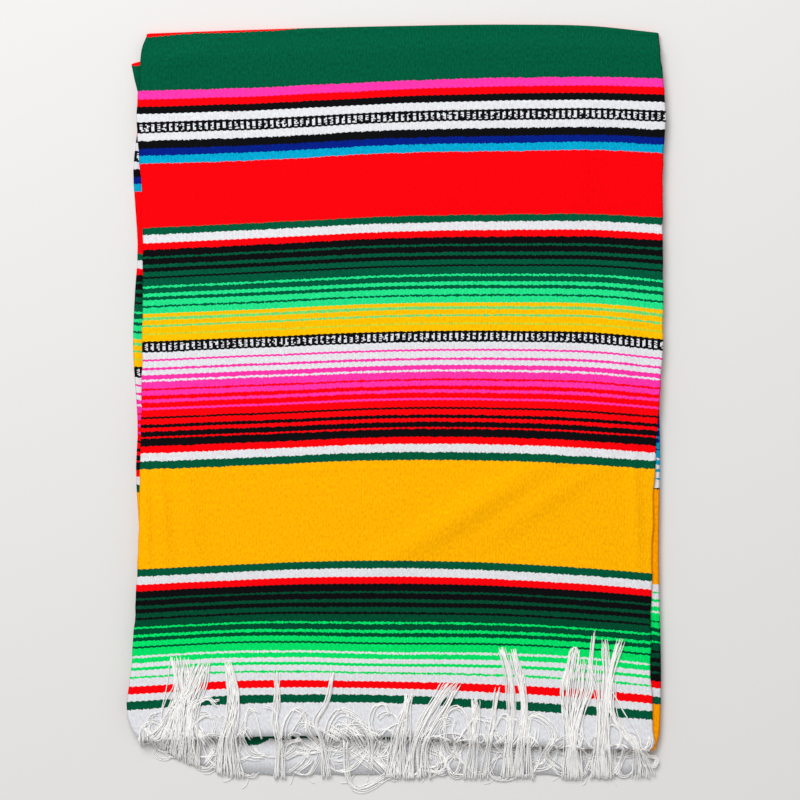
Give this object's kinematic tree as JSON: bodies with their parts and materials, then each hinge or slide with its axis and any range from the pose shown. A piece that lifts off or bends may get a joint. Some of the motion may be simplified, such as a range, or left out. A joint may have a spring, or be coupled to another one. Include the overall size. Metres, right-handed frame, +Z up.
{
  "type": "folded serape",
  "caption": "Narrow woven serape with bright cross stripes, folded flat into a rectangular bundle, white knotless fringe at its near edge.",
  "frame": {"origin": "under the middle of the bundle's box, on the surface it lies on", "axes": "+X to the right across the cloth, +Y along the cloth towards the far fold, +Z up; the fringed ends are at -Y"},
  "size_m": [0.3642, 0.5204, 0.0114],
  "materials": {
    "striped_cloth": "matte woven wool-like acrylic, colour is in the scene file",
    "under_cloth": "matte woven wool-like acrylic, colour is in the scene file",
    "fringe_yarn": "matte white cotton yarn"
  },
  "bodies": {
    "root": {"top_layer": "striped_cloth", "under_layers": "under_cloth", "fringe_top": "fringe_yarn", "fringe_under": "fringe_yarn"}
  },
  "joints": []
}
